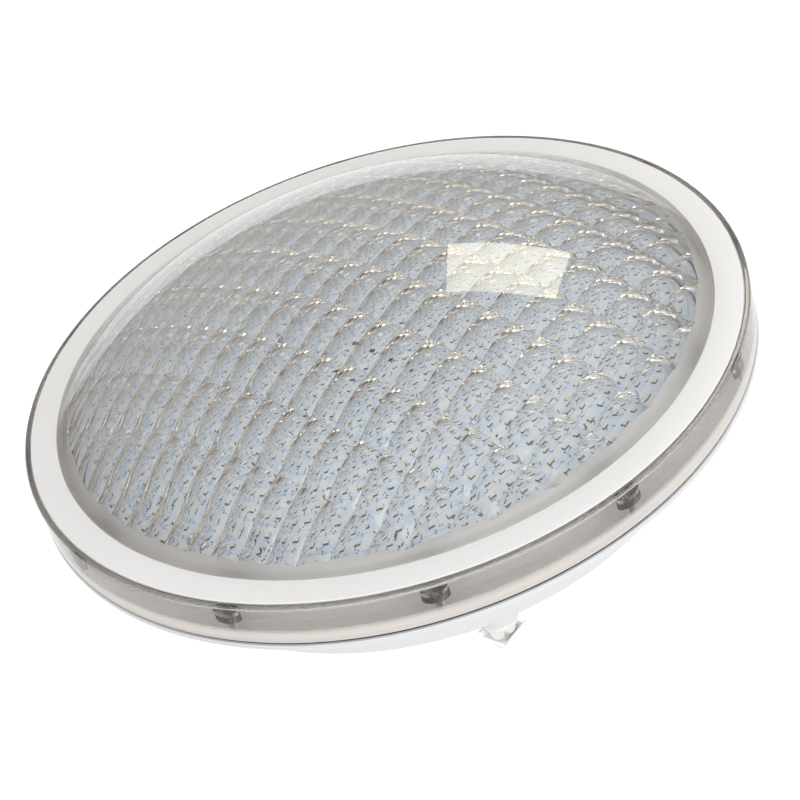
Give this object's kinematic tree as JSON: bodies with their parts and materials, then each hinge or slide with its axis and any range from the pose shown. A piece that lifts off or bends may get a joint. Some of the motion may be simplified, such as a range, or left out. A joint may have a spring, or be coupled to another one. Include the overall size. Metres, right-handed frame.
{
  "type": "underwater pool light",
  "caption": "Sealed underwater pool lamp with a domed clear fluted lens, white trim ring, light board and rear screw terminals.",
  "frame": {"origin": "on the lamp axis, in the rear seat plane of the rim", "axes": "+Z along the lamp axis, out through the lens; +X through the terminals and across the lens flutes; +Y along the flutes"},
  "size_m": [0.1778, 0.1778, 0.1269],
  "materials": {
    "clear_plastic": "clear, polished outside, fluted inside",
    "white_trim": "white, satin",
    "shell_plastic": "white, fine moulded grain",
    "insert_metal": "knurled, dull plated",
    "screw_steel": "stainless, turned",
    "black_rubber": "matt black",
    "board_white": "white board coating with pale yellow chips",
    "plate_aluminium": "stamped sheet",
    "driver_green": "green board lacquer",
    "part_black": "moulded black",
    "can_dark": "dark printed sleeve on a metal can",
    "copper_wound": "enamelled copper winding",
    "lead_black": "insulated wire",
    "lead_white": "insulated wire",
    "post_nickel": "turned, nickel plated",
    "clamp_nickel": "nickel plated",
    "clamp_white": "white nylon",
    "seal_white": "white silicone rubber"
  },
  "bodies": {
    "lamp": {"capacitor_1": "can_dark", "capacitor_2": "can_dark", "choke": "copper_wound", "control_chip": "part_black", "driver_board": "driver_green", "driver_screw_1": "screw_steel", "driver_screw_2": "screw_steel", "driver_screw_3": "screw_steel", "front_lens": "clear_plastic", "heat_plate": "plate_aluminium", "input_lead_1": "lead_white", "input_lead_2": "lead_white", "insert_01": "insert_metal", "insert_02": "insert_metal", "insert_03": "insert_metal", "insert_04": "insert_metal", "insert_05": "insert_metal", "insert_06": "insert_metal", "insert_07": "insert_metal", "insert_08": "insert_metal", "insert_09": "insert_metal", "insert_10": "insert_metal", "insert_11": "insert_metal", "insert_12": "insert_metal", "led_board": "board_white", "led_lead_1": "lead_black", "led_lead_2": "lead_black", "plate_screw_1": "screw_steel", "plate_screw_2": "screw_steel", "plate_screw_3": "screw_steel", "post_nut_1": "post_nickel", "post_nut_2": "post_nickel", "rear_shell": "shell_plastic", "rectifier": "part_black", "rim_gasket": "black_rubber", "rim_screw_01": "screw_steel", "rim_screw_02": "screw_steel", "rim_screw_03": "screw_steel", "rim_screw_04": "screw_steel", "rim_screw_05": "screw_steel", "rim_screw_06": "screw_steel", "rim_screw_07": "screw_steel", "rim_screw_08": "screw_steel", "rim_screw_09": "screw_steel", "rim_screw_10": "screw_steel", "rim_screw_11": "screw_steel", "rim_screw_12": "screw_steel", "switch_transistor": "part_black", "terminal_post_1": "post_nickel", "terminal_post_2": "post_nickel", "terminal_seal_1": "seal_white", "terminal_seal_2": "seal_white", "trim_ring": "white_trim"},
    "terminal_1": {"wire_clamp_1": "clamp_white", "terminal_screw_1": "clamp_nickel"},
    "terminal_2": {"wire_clamp_2": "clamp_white", "terminal_screw_2": "clamp_nickel"}
  },
  "joints": [
    {"name": "terminal_1_open", "type": "slide", "parent": "lamp", "child": "terminal_1", "axis": [0, 0, -1], "range_m": [0, 0.003]},
    {"name": "terminal_2_open", "type": "slide", "parent": "lamp", "child": "terminal_2", "axis": [0, 0, -1], "range_m": [0, 0.003]}
  ]
}
